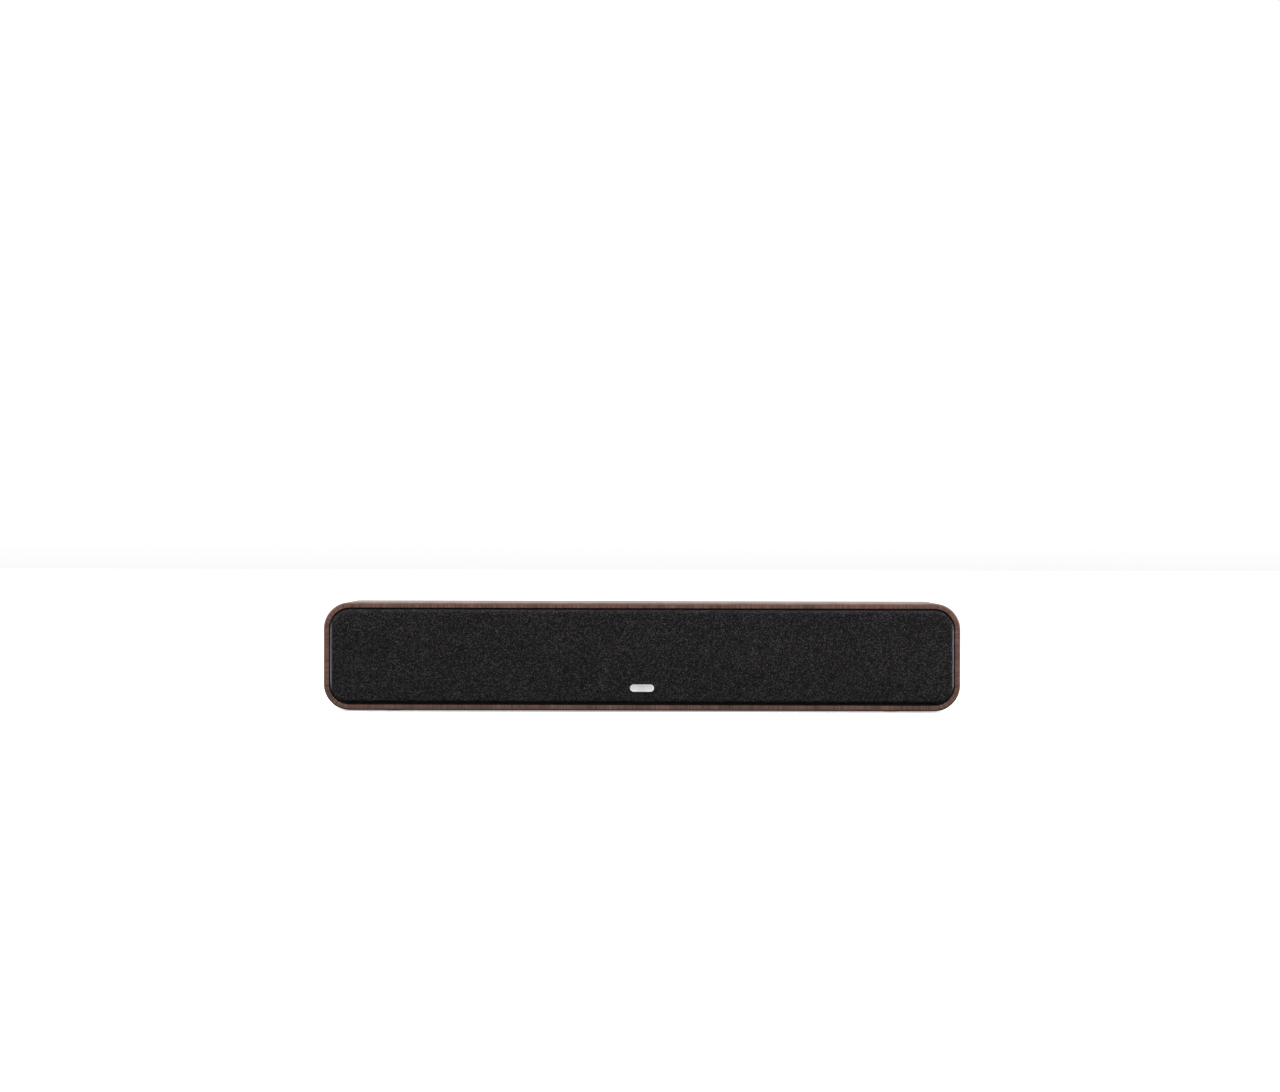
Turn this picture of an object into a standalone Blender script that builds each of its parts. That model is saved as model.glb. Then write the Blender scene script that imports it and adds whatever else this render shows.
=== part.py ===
"""Slim centre-channel speaker bar.

A rounded wooden sleeve, closed by a front baffle and a back panel, holds six small woofers
and a dome tweeter. A framed cloth grille clips on by magnets, two reflex ports breathe through
the back, and a recessed cup holds two screw-down binding posts.

Frame: X along the bar, front faces -Y, +Z up, origin under the middle of the bar on the
surface that its feet stand on. All lengths are metres.
"""

import math

import bmesh
import bpy

# Driving dimensions -------------------------------------------------------------------------
WIDTH = 0.609
CABINET_HEIGHT = 0.103
DEPTH = 0.207
FOOT_HEIGHT = 0.0015
CORNER_RADIUS = 0.025
RIM_WIDTH = 0.0052
WALL = 0.010
EDGE_ROUND = 0.0010
BOARD = 0.012
GAP = 0.0003

FOOT_R = 0.008
FOOT_X = 0.240
FOOT_Y = 0.050

BADGE_THICKNESS = 0.0009
GRILLE_PROUD = 0.0018
GRILLE_RECESS = 0.0055
GRILLE_END_GAP = 0.0007
GRILLE_TOP_GAP = 0.0015
GRILLE_EDGE_ROUND = 0.0040
CLOTH = 0.0006
CLOTH_LIP = 0.0048
BACK_RECESS = 0.0015

# Planes and centres -------------------------------------------------------------------------
FRONT_Y = -DEPTH / 2
BACK_Y = DEPTH / 2
CENTRE_Z = FOOT_HEIGHT + CABINET_HEIGHT / 2
GRILLE_FACE_Y = FRONT_Y + BADGE_THICKNESS + GAP
RIM_Y = GRILLE_FACE_Y + GRILLE_PROUD
BAFFLE_Y = RIM_Y + GRILLE_RECESS
BAFFLE_BACK_Y = BAFFLE_Y + BOARD
PANEL_BACK_Y = BACK_Y - BACK_RECESS
PANEL_FRONT_Y = PANEL_BACK_Y - BOARD

FRONT_OPENING = (WIDTH - 2 * RIM_WIDTH, CABINET_HEIGHT - 2 * RIM_WIDTH)
FRONT_OPENING_RADIUS = CORNER_RADIUS - RIM_WIDTH
INSIDE = (WIDTH - 2 * WALL, CABINET_HEIGHT - 2 * WALL)
INSIDE_RADIUS = CORNER_RADIUS - WALL

# Drivers ------------------------------------------------------------------------------------
WOOFER_X = (-0.244, -0.160, -0.076, 0.076, 0.160, 0.244)
WOOFER_FLANGE_R = 0.040
WOOFER_MOUTH_R = 0.036
WOOFER_FLANGE = 0.003
WOOFER_BODY_R = 0.0372
CONE_EDGE_R = 0.0300
TWEETER_PLATE_R = 0.031
TWEETER_MOUTH_R = 0.0150
TWEETER_BODY_R = 0.0235
TWEETER_PLATE = 0.003

# Grille -------------------------------------------------------------------------------------
GRILLE_MAGNET_X = 0.290
GRILLE_MAGNET_Z = 0.022
GRILLE_MAGNET_R = 0.004
MAGNET_THICKNESS = 0.003
DISC_THICKNESS = 0.004
WINDOW_HEIGHT = 0.0760
WOOFER_WINDOW = 0.0770
TWEETER_WINDOW = 0.0640
WINDOW_RADIUS = 0.010
BADGE = (0.0230, 0.0070)
BADGE_DROP = 0.0300

# Back -----------------------------------------------------------------------------------------
PORT_X = 0.170
PORT_R = 0.017
PORT_WALL = 0.002
PORT_LENGTH = 0.080
PORT_FLANGE_R = 0.027
CUP = (0.066, 0.048)
CUP_RADIUS = 0.008
CUP_WALL = 0.002
CUP_DEPTH = 0.0220
CUP_FLANGE = (0.082, 0.062)
CUP_FLANGE_RADIUS = 0.010
POST_X = 0.0095
STUD_R = 0.0021
STUD_TAIL_R = 0.0025
POST_BORE_R = 0.0025
KNOB_R = 0.0062
KNOB_LENGTH = 0.0165
KEYHOLE_X = 0.250
KEYHOLE_Z = CENTRE_Z + 0.018
KEYHOLE_HEAD_R = 0.0048
KEYHOLE_SLOT_R = 0.0024
KEYHOLE_TRAVEL = 0.0090
KEYHOLE_PLATE = (0.022, 0.034)
KEYHOLE_PLATE_RADIUS = 0.0027
KEYHOLE_PLATE_THICKNESS = 0.0012
KEYHOLE_POCKET = (0.0130, 0.0250)
KEYHOLE_POCKET_RADIUS = 0.0060
KEYHOLE_POCKET_DEPTH = 0.0090
BRACE_X = 0.118
BRACE_THICKNESS = 0.009
BRACE_WINDOW = (0.72, 0.60)

# Fineness -------------------------------------------------------------------------------------
ROUND = 20
SMALL_ROUND = 12
PORT_ROUND = 24
CORNER_STEPS = 6
PAST = 0.002  # how far a cutter runs past the face that it cuts

CORNERS = ((-1, -1), (1, -1), (1, 1), (-1, 1))


# Mesh tools ---------------------------------------------------------------------------------
def rounded_rectangle(size, radius, steps=CORNER_STEPS, centre=(0.0, 0.0)):
    """Points of a rounded rectangle in X and Z, anticlockwise seen along +Y from the front."""
    half_x, half_z = size[0] / 2 - radius, size[1] / 2 - radius
    points = []
    for turn, (sx, sz) in enumerate(((1, 1), (-1, 1), (-1, -1), (1, -1))):
        for step in range(steps + 1):
            angle = math.pi / 2 * (turn + step / steps)
            x = centre[0] + sx * half_x + radius * math.cos(angle)
            z = centre[1] + sz * half_z + radius * math.sin(angle)
            points.append((x, z))
    return points


def circle(radius, segments=ROUND, centre=(0.0, 0.0)):
    """Points of a circle in X and Z."""
    angles = [2 * math.pi * k / segments for k in range(segments)]
    return [(centre[0] + radius * math.cos(a), centre[1] + radius * math.sin(a)) for a in angles]


def finished(bm, name, flat_angle=math.radians(32)):
    """Turn a bmesh into a mesh with its faces pointing out and its round faces smooth."""
    bmesh.ops.recalc_face_normals(bm, faces=bm.faces[:])
    mesh = bpy.data.meshes.new(name)
    bm.to_mesh(mesh)
    bm.free()
    mesh.shade_smooth()
    mesh.set_sharp_from_angle(angle=flat_angle)
    return mesh


def bridge(bm, ring_a, ring_b):
    """Quads between two rings of equally many vertices."""
    count = len(ring_a)
    for k in range(count):
        after = (k + 1) % count
        bm.faces.new((ring_a[k], ring_a[after], ring_b[after], ring_b[k]))


def loft(name, sections, closed=False):
    """A skin through sections, each (outline points, y). Its ends are capped, or joined."""
    bm = bmesh.new()
    rings = [[bm.verts.new((x, y, z)) for x, z in outline] for outline, y in sections]
    for ring_a, ring_b in zip(rings, rings[1:]):
        bridge(bm, ring_a, ring_b)
    if closed:
        bridge(bm, rings[-1], rings[0])
    else:
        bm.faces.new(rings[0])
        bm.faces.new(rings[-1])
    return finished(bm, name)


def turned(name, profile, segments=ROUND):
    """A body turned about Y from a closed profile of (radius, y). Radius 0 is a pole."""
    bm = bmesh.new()
    rings = []
    for radius, y in profile:
        if radius == 0:
            rings.append([bm.verts.new((0, y, 0))])
        else:
            rings.append([bm.verts.new((x, y, z)) for x, z in circle(radius, segments)])
    for ring_a, ring_b in zip(rings, rings[1:] + rings[:1]):
        if len(ring_a) == len(ring_b) == 1:
            continue
        if len(ring_a) > 1 and len(ring_b) > 1:
            bridge(bm, ring_a, ring_b)
            continue
        pole, ring = (ring_a[0], ring_b) if len(ring_a) == 1 else (ring_b[0], ring_a)
        for k in range(segments):
            bm.faces.new((pole, ring[k], ring[(k + 1) % segments]))
    return finished(bm, name)


def rod(name, radius, front, back, segments=SMALL_ROUND):
    """A plain round rod along Y."""
    return turned(name, [(0, front), (radius, front), (radius, back), (0, back)], segments)


def turned_with_windows(name, outer, inner, split, spokes, segments=ROUND):
    """A turned shell whose band between outer[split] and outer[split + 1] is cut into spokes.

    outer and inner are profiles of equal length, front to back. Every spoke is two segments
    wide, and the windows between the spokes go right through.
    """
    bm = bmesh.new()
    skins = [
        [[bm.verts.new((x, y, z)) for x, z in circle(radius, segments)] for radius, y in side]
        for side in (outer, inner)
    ]
    last = len(outer) - 1
    pitch = segments // spokes
    for k in range(segments):
        after = (k + 1) % segments
        window = k % pitch >= 2

        def band(a, b, here=k, there=after):
            bm.faces.new((a[here], a[there], b[there], b[here]))

        for skin in skins:
            for row in range(last):
                if not (window and row == split):
                    band(skin[row], skin[row + 1])
        band(skins[0][0], skins[1][0])
        band(skins[0][last], skins[1][last])
        if window:
            band(skins[0][split], skins[1][split])
            band(skins[0][split + 1], skins[1][split + 1])
        if window != (after % pitch >= 2):
            corners = [skins[0][split], skins[0][split + 1], skins[1][split + 1], skins[1][split]]
            bm.faces.new([ring[after] for ring in corners])
    return finished(bm, name)


def arc(centre, radius, start, end, steps):
    """Points of an arc in a profile's plane, angles in degrees."""
    points = []
    for step in range(steps + 1):
        angle = math.radians(start + (end - start) * step / steps)
        points.append((centre[0] + radius * math.cos(angle), centre[1] + radius * math.sin(angle)))
    return points


# Scene tools --------------------------------------------------------------------------------
def clear_scene():
    for thing in list(bpy.data.objects):
        bpy.data.objects.remove(thing, do_unlink=True)


def material(name, colour, roughness, metallic=0.0):
    made = bpy.data.materials.get(name)
    if made is None:
        made = bpy.data.materials.new(name)
        made.use_nodes = True
        shader = made.node_tree.nodes["Principled BSDF"]
        shader.inputs["Base Color"].default_value = (*colour, 1.0)
        shader.inputs["Roughness"].default_value = roughness
        shader.inputs["Metallic"].default_value = metallic
    return made


def place(name, mesh, finish, location=(0, 0, 0), parent=None):
    thing = bpy.data.objects.new(name, mesh)
    bpy.context.collection.objects.link(thing)
    thing.location = location
    thing.parent = parent
    if not mesh.materials:
        mesh.materials.append(finish)
    return thing


def axis_empty(name, location):
    empty = bpy.data.objects.new(name, None)
    bpy.context.collection.objects.link(empty)
    empty.location = location
    return empty


def cut(target, mesh, location=(0, 0, 0)):
    """Cut mesh out of target with an exact Boolean and hide the cutter."""
    cutter = bpy.data.objects.new("cutter_" + mesh.name, mesh)
    bpy.context.collection.objects.link(cutter)
    cutter.location = location
    cutter.hide_render = True
    cutter.display_type = "WIRE"
    modifier = target.modifiers.new("cut_" + mesh.name, "BOOLEAN")
    modifier.operation = "DIFFERENCE"
    modifier.solver = "EXACT"
    modifier.object = cutter


def at(x, y, z=CENTRE_Z):
    return (x, y, z)


# Finishes -----------------------------------------------------------------------------------
def walnut():
    return material("walnut_veneer", (0.150, 0.088, 0.068), 0.42)


def black_board():
    return material("black_board", (0.020, 0.019, 0.019), 0.75)


def raw_board():
    return material("raw_board", (0.42, 0.30, 0.19), 0.85)


def black_plastic():
    return material("black_plastic", (0.018, 0.018, 0.019), 0.45)


def cloth_black():
    return material("cloth_black", (0.019, 0.018, 0.018), 0.95)


def badge_silver():
    return material("badge_silver", (0.78, 0.78, 0.77), 0.35, 0.6)


def steel():
    return material("steel", (0.55, 0.55, 0.56), 0.35, 1.0)


def ferrite():
    return material("ferrite", (0.060, 0.060, 0.064), 0.55)


def rubber():
    return material("rubber", (0.016, 0.016, 0.016), 0.70)


def paper_cone():
    return material("paper_cone", (0.028, 0.028, 0.030), 0.80)


def silk():
    return material("silk", (0.020, 0.020, 0.022), 0.60)


def brass():
    return material("gilt_brass", (0.80, 0.60, 0.25), 0.25, 1.0)


def post_plastic(side):
    colours = {"red": (0.55, 0.02, 0.02), "black": (0.02, 0.02, 0.02)}
    return material("post_" + side, colours[side], 0.30)


def circuit_board():
    return material("circuit_board", (0.03, 0.12, 0.05), 0.55)


def copper():
    return material("copper", (0.72, 0.33, 0.17), 0.35, 1.0)


# Cabinet ------------------------------------------------------------------------------------
def cabinet_shell():
    """Sleeve with rounded edges, rebated at the front so that only a thin rim shows."""
    sections = []
    for inset, back in arc((EDGE_ROUND, EDGE_ROUND), EDGE_ROUND, 270, 180, 2):
        size = (WIDTH - 2 * inset, CABINET_HEIGHT - 2 * inset)
        sections.append((rounded_rectangle(size, CORNER_RADIUS - inset), RIM_Y + back))
    for shape, y in list(reversed(sections)):
        sections.append((shape, BACK_Y - (y - RIM_Y)))
    inside = rounded_rectangle(INSIDE, INSIDE_RADIUS)
    opening = rounded_rectangle(FRONT_OPENING, FRONT_OPENING_RADIUS)
    step_y = BAFFLE_BACK_Y + GAP
    sections += [(inside, BACK_Y), (inside, step_y), (opening, step_y), (opening, RIM_Y)]
    place("cabinet_shell", loft("cabinet_shell", sections, closed=True), walnut(), at(0, 0))


def front_baffle():
    """Board behind the grille, with a stepped opening for each driver and four disc pockets."""
    size = (FRONT_OPENING[0] - 2 * GAP, FRONT_OPENING[1] - 2 * GAP)
    outline = rounded_rectangle(size, FRONT_OPENING_RADIUS - GAP)
    sections = [(outline, BAFFLE_Y), (outline, BAFFLE_BACK_Y)]
    board = place("front_baffle", loft("front_baffle", sections), black_board(), at(0, 0))
    woofer_hole = stepped_hole("woofer_hole", WOOFER_FLANGE_R, WOOFER_FLANGE, WOOFER_BODY_R)
    for x in WOOFER_X:
        cut(board, woofer_hole, at(x, BAFFLE_Y))
    tweeter_hole = stepped_hole("tweeter_hole", TWEETER_PLATE_R, TWEETER_PLATE, TWEETER_BODY_R)
    cut(board, tweeter_hole, at(0, BAFFLE_Y))
    pocket = rod("disc_pocket", GRILLE_MAGNET_R + GAP, -PAST, DISC_THICKNESS + 2 * GAP)
    for x, z in magnet_places():
        cut(board, pocket, (x, BAFFLE_Y, z))


def stepped_hole(name, flange_r, flange, body_r):
    """Cutter for a driver: a counterbore for its flange and a hole for its body."""
    wide, narrow, step, back = flange_r + GAP, body_r + GAP, flange + GAP, BOARD + PAST
    profile = [(0, -PAST), (wide, -PAST), (wide, step), (narrow, step), (narrow, back), (0, back)]
    return turned(name, profile)


def back_panel():
    """Board inside the back of the sleeve, open for the ports, the cup and the wall hooks."""
    size = (INSIDE[0] - 2 * GAP, INSIDE[1] - 2 * GAP)
    outline = rounded_rectangle(size, INSIDE_RADIUS - GAP)
    sections = [(outline, PANEL_FRONT_Y), (outline, PANEL_BACK_Y)]
    board = place("back_panel", loft("back_panel", sections), black_board(), at(0, 0))
    port_hole = rod("port_hole", PORT_R + PORT_WALL + GAP, -PAST, BOARD + PAST, PORT_ROUND)
    for side in (-1, 1):
        cut(board, port_hole, at(side * PORT_X, PANEL_FRONT_Y))
    around = CUP_WALL + GAP
    cup = rounded_rectangle((CUP[0] + 2 * around, CUP[1] + 2 * around), CUP_RADIUS + around)
    cut(board, loft("cup_hole", [(cup, PANEL_FRONT_Y - PAST), (cup, PANEL_BACK_Y + PAST)]), at(0, 0))
    seat_size = (KEYHOLE_PLATE[0] + 2 * GAP, KEYHOLE_PLATE[1] + 2 * GAP)
    seat = rounded_rectangle(seat_size, KEYHOLE_PLATE_RADIUS + GAP, 4)
    seat_cutter = loft("keyhole_seat", [(seat, -KEYHOLE_PLATE_THICKNESS - GAP), (seat, PAST)])
    pocket = rounded_rectangle(KEYHOLE_POCKET, KEYHOLE_POCKET_RADIUS, 4)
    pocket_cutter = loft("keyhole_pocket", [(pocket, -KEYHOLE_POCKET_DEPTH), (pocket, PAST)])
    for x in (-KEYHOLE_X, KEYHOLE_X):
        cut(board, seat_cutter, (x, PANEL_BACK_Y, KEYHOLE_Z))
        cut(board, pocket_cutter, (x, PANEL_BACK_Y, KEYHOLE_Z))


def braces():
    """Windowed boards that tie baffle, panel, top and bottom together."""
    front, back = BAFFLE_BACK_Y + 2 * GAP, PANEL_FRONT_Y - GAP
    height = INSIDE[1] - 2 * GAP
    middle, length = (front + back) / 2, back - front
    for side, x in (("left", -BRACE_X), ("right", BRACE_X)):
        bm = bmesh.new()
        rings = []
        for across in (-BRACE_THICKNESS / 2, BRACE_THICKNESS / 2):
            shape = [(length / 2 * sy, height / 2 * sz) for sy, sz in CORNERS]
            hole = [(y * BRACE_WINDOW[0], z * BRACE_WINDOW[1]) for y, z in shape]
            loops = (shape, hole)
            rings.append([[bm.verts.new((across, y, z)) for y, z in loop] for loop in loops])
        bridge(bm, rings[0][0], rings[1][0])
        bridge(bm, rings[0][1], rings[1][1])
        bridge(bm, rings[0][0], rings[0][1])
        bridge(bm, rings[1][0], rings[1][1])
        place("brace_" + side, finished(bm, "brace_" + side), raw_board(), at(x, middle))


def feet():
    """Low round rubber feet with a small chamfer at the floor."""
    chamfer, height = 0.0004, FOOT_HEIGHT - GAP
    profile = [(0, 0), (FOOT_R - chamfer, 0), (FOOT_R, -chamfer), (FOOT_R, -height), (0, -height)]
    mesh = turned("foot", profile)
    names = ("foot_front_left", "foot_front_right", "foot_rear_right", "foot_rear_left")
    for name, (sx, sy) in zip(names, CORNERS):
        foot = place(name, mesh, rubber(), (sx * FOOT_X, sy * FOOT_Y, 0))
        foot.rotation_euler = (-math.pi / 2, 0, 0)


# Grille -------------------------------------------------------------------------------------
def magnet_places():
    return [(sx * GRILLE_MAGNET_X, CENTRE_Z + sz * GRILLE_MAGNET_Z) for sx, sz in CORNERS]


def grille_size(inset):
    """Size and corner radius of the grille's outline, inset from its cloth's outside."""
    width = FRONT_OPENING[0] - 2 * (GRILLE_END_GAP + inset)
    height = FRONT_OPENING[1] - 2 * (GRILLE_TOP_GAP + inset)
    return (width, height), FRONT_OPENING_RADIUS - GRILLE_END_GAP - inset


def grille_sections(inset, round_radius, face_y, back_y):
    """Sections of a rounded slab, from the rim of its flat face round to its back."""
    sections = []
    for across, back in arc((round_radius, round_radius), round_radius, 270, 180, 4):
        size, radius = grille_size(inset + across)
        sections.append((rounded_rectangle(size, radius), face_y + back))
    size, radius = grille_size(inset)
    sections.append((rounded_rectangle(size, radius), back_y))
    return sections


def grille():
    """Moulded frame with a window before each driver, its cloth, badge and magnets."""
    pivot = axis_empty("grille_pull_axis", at(0, GRILLE_FACE_Y))
    frame_front, frame_back = CLOTH + GAP, BAFFLE_Y - GAP - GRILLE_FACE_Y
    inset = CLOTH + GAP
    sections = grille_sections(inset, GRILLE_EDGE_ROUND - inset, frame_front, frame_back)
    frame = place("grille_frame", loft("grille_frame", sections), black_plastic(), parent=pivot)
    for x in (*WOOFER_X, 0.0):
        width = WOOFER_WINDOW if x else TWEETER_WINDOW
        shape = rounded_rectangle((width, WINDOW_HEIGHT), WINDOW_RADIUS, 4)
        window = loft("grille_window", [(shape, -PAST), (shape, frame_back + PAST)])
        cut(frame, window, at(x, GRILLE_FACE_Y))
    pocket = rod("magnet_pocket", GRILLE_MAGNET_R + GAP, -MAGNET_THICKNESS - 2 * GAP, PAST)
    magnet = rod("grille_magnet", GRILLE_MAGNET_R, -MAGNET_THICKNESS, 0)
    disc = rod("catch_disc", GRILLE_MAGNET_R, 0, DISC_THICKNESS)
    for k, (x, z) in enumerate(magnet_places(), start=1):
        cut(frame, pocket, (x, BAFFLE_Y - GAP, z))
        where = (x, frame_back - GAP, z - CENTRE_Z)
        place(f"grille_magnet_{k}", magnet, ferrite(), where, pivot)
        place(f"catch_disc_{k}", disc, steel(), (x, BAFFLE_Y + GAP, z))
    outside = grille_sections(0.0, GRILLE_EDGE_ROUND, 0.0, CLOTH_LIP)
    inside = grille_sections(CLOTH, GRILLE_EDGE_ROUND - CLOTH, CLOTH, CLOTH_LIP)
    place("grille_cloth", cloth_skin(inside, outside), cloth_black(), parent=pivot)
    edge = 0.0004
    oval = rounded_rectangle(BADGE, BADGE[1] / 2)
    face = rounded_rectangle((BADGE[0] - 2 * edge, BADGE[1] - 2 * edge), BADGE[1] / 2 - edge)
    sections = [(face, -BADGE_THICKNESS), (oval, edge - BADGE_THICKNESS), (oval, 0.0)]
    place("badge", loft("badge", sections), badge_silver(), (0, -GAP, -BADGE_DROP), pivot)


def cloth_skin(inside, outside):
    """The cloth: a shallow tray of one thickness, its lip turned back round the frame."""
    bm = bmesh.new()
    skins = []
    for sections in (outside, inside):
        skins.append([[bm.verts.new((x, y, z)) for x, z in outline] for outline, y in sections])
    for rings in skins:
        for ring_a, ring_b in zip(rings, rings[1:]):
            bridge(bm, ring_a, ring_b)
        bm.faces.new(rings[0])
    bridge(bm, skins[0][-1], skins[1][-1])
    return finished(bm, "grille_cloth")


# Woofers ------------------------------------------------------------------------------------
def woofer_basket_mesh():
    """Pressed basket: flange, mouth, four spokes and a seat for the magnet."""
    outer = [(WOOFER_FLANGE_R, 0.0), (WOOFER_FLANGE_R, WOOFER_FLANGE),
             (WOOFER_BODY_R, WOOFER_FLANGE), (WOOFER_BODY_R, 0.0120),
             (0.0220, 0.0300), (0.0200, 0.0320)]
    inner = [(WOOFER_MOUTH_R, 0.0), (WOOFER_MOUTH_R, 0.0015), (WOOFER_MOUTH_R, 0.0035),
             (WOOFER_MOUTH_R - 0.0010, 0.0114), (0.0195, 0.0294), (0.0150, 0.0320)]
    return turned_with_windows("woofer_basket", outer, inner, 3, 4)


def woofer_magnet_mesh():
    """Front plate, ring magnet, back plate and pole, with the annular voice-coil gap."""
    front = 0.0320 + GAP
    profile = [(0, front), (0.0116, front), (0.0116, 0.0455), (0.0142, 0.0455), (0.0142, front),
               (0.0285, front), (0.0285, 0.0465), (0.0250, 0.0505), (0, 0.0505)]
    return turned("woofer_magnet", profile)


def woofer_surround_mesh():
    """Rubber roll that dips behind the flange, between the basket and the cone."""
    outer_r, inner_r = WOOFER_MOUTH_R - GAP, CONE_EDGE_R + GAP
    middle, half = (outer_r + inner_r) / 2, (outer_r - inner_r) / 2
    front = arc((middle, 0.0010), half, 0, 180, 4)
    back = arc((middle, 0.0018), half, 180, 0, 4)
    return turned("woofer_surround", front + back)


def woofer_cone_mesh():
    """Cone with its dust cap and the voice-coil former behind it."""
    profile = [(0, 0.0100), (0.0070, 0.0112), (0.0125, 0.0150), (CONE_EDGE_R, 0.0006),
               (CONE_EDGE_R, 0.0018), (0.0132, 0.0170), (0.0132, 0.0370), (0.0126, 0.0370),
               (0.0122, 0.0170), (0, 0.0150)]
    return turned("woofer_cone", profile)


def woofers():
    basket, magnet = woofer_basket_mesh(), woofer_magnet_mesh()
    surround, cone = woofer_surround_mesh(), woofer_cone_mesh()
    for k, x in enumerate(WOOFER_X, start=1):
        axis = axis_empty(f"woofer_{k}_axis", at(x, BAFFLE_Y))
        place(f"woofer_{k}_basket", basket, black_plastic(), parent=axis)
        place(f"woofer_{k}_magnet", magnet, ferrite(), parent=axis)
        place(f"woofer_{k}_surround", surround, rubber(), parent=axis)
        place(f"woofer_{k}_cone", cone, paper_cone(), parent=axis)


# Tweeter ------------------------------------------------------------------------------------
def tweeter():
    axis = axis_empty("tweeter_axis", at(0, BAFFLE_Y))
    body_r, body_back = TWEETER_BODY_R - 0.0005, 0.0090
    waveguide = [(TWEETER_PLATE_R, 0), (TWEETER_PLATE_R, TWEETER_PLATE), (body_r, TWEETER_PLATE),
                 (body_r, body_back), (TWEETER_MOUTH_R, body_back), (TWEETER_MOUTH_R, 0.0050),
                 (0.0190, 0.0022), (0.0245, 0.0006), (0.0270, 0.0)]
    place("tweeter_faceplate", turned("tweeter_faceplate", waveguide), black_plastic(), parent=axis)
    centre_y, dome_r, skin = 0.0166, 0.0160, 0.0004
    front = [(0, centre_y - dome_r)] + arc((0, centre_y), dome_r, 270, 320, 4)[1:]
    back = arc((0, centre_y), dome_r - skin, 322, 270, 4)[:-1] + [(0, centre_y - dome_r + skin)]
    collar = [(0.0143, 0.0063), (0.0143, 0.0085), (0.0138, 0.0085)]
    place("tweeter_dome", turned("tweeter_dome", front + collar + back), silk(), parent=axis)
    magnet_y = body_back + GAP
    profile = [(0, magnet_y), (body_r, magnet_y), (body_r, 0.0240), (0.0200, 0.0270), (0, 0.0270)]
    place("tweeter_magnet", turned("tweeter_magnet", profile), ferrite(), parent=axis)


# Back fittings --------------------------------------------------------------------------------
def reflex_ports():
    """Tubes flared at their mouths, each with a flange on the back panel."""
    lip = 0.0060
    outer_r, mouth_r = PORT_R + PORT_WALL, PORT_R + lip
    flange_y = BACK_RECESS - GAP
    profile = [(mouth_r + 0.0010, flange_y)]
    profile += arc((mouth_r, flange_y - lip), lip, 90, 180, 4)
    profile += [(PORT_R, 0.004 - PORT_LENGTH), (outer_r, 0.004 - PORT_LENGTH), (outer_r, GAP)]
    profile += [(PORT_FLANGE_R, GAP), (PORT_FLANGE_R, flange_y)]
    mesh = turned("port_tube", profile, PORT_ROUND)
    for side, x in (("left", -PORT_X), ("right", PORT_X)):
        place("port_tube_" + side, mesh, black_plastic(), at(x, PANEL_BACK_Y))


def terminal_cup():
    """Recessed cup with a flange on the back panel and a floor that carries two posts."""
    flange = rounded_rectangle(CUP_FLANGE, CUP_FLANGE_RADIUS)
    mouth = rounded_rectangle(CUP, CUP_RADIUS)
    outer_size = (CUP[0] + 2 * CUP_WALL, CUP[1] + 2 * CUP_WALL)
    outside = rounded_rectangle(outer_size, CUP_RADIUS + CUP_WALL)
    face_y = BACK_RECESS - GAP
    floor_y = face_y - CUP_DEPTH
    sections = [(mouth, floor_y), (mouth, face_y), (flange, face_y), (flange, GAP),
                (outside, GAP), (outside, floor_y - CUP_WALL)]
    cup_mesh = loft("terminal_cup", sections)
    cup = place("terminal_cup", cup_mesh, black_plastic(), at(0, PANEL_BACK_Y))
    stud_hole = rod("stud_hole", STUD_TAIL_R + GAP, floor_y - CUP_WALL - PAST, floor_y + PAST)
    for x in (-POST_X, POST_X):
        cut(cup, stud_hole, at(x, PANEL_BACK_Y))
    for side, x in (("black", -POST_X), ("red", POST_X)):
        binding_post(side, axis_empty(f"post_{side}_axis", at(x, PANEL_BACK_Y + floor_y)))


def binding_post(side, axis):
    """Stud through the cup's floor, a washer that rides with the knob, and the knob."""
    collar_y, collar_r = GAP + 0.0015, 0.0058
    tip, tail = 0.0120, CUP_WALL + 0.008
    stud = [(0, tip + 0.0005), (STUD_R, tip), (STUD_R, collar_y), (collar_r, collar_y),
            (collar_r, GAP), (STUD_TAIL_R, GAP), (STUD_TAIL_R, -tail), (0, -tail)]
    stud_mesh = turned("post_stud", stud, SMALL_ROUND)
    place(f"post_{side}_stud", stud_mesh, brass(), parent=axis)
    washer_y, washer_back = collar_y + GAP, collar_y + GAP + 0.0012
    washer = [(POST_BORE_R, washer_y), (0.0060, washer_y), (0.0060, washer_back),
              (POST_BORE_R, washer_back)]
    place(f"post_{side}_washer", turned("post_washer", washer), brass(), parent=axis)
    knob_y = washer_back + GAP
    end = knob_y + KNOB_LENGTH
    knob = [(POST_BORE_R, knob_y), (KNOB_R - 0.0007, knob_y), (KNOB_R, knob_y + 0.0020),
            (KNOB_R, end - 0.0015), (KNOB_R - 0.0012, end), (POST_BORE_R, end)]
    place(f"post_{side}_knob", turned("post_knob", knob), post_plastic(side), parent=axis)


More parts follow.
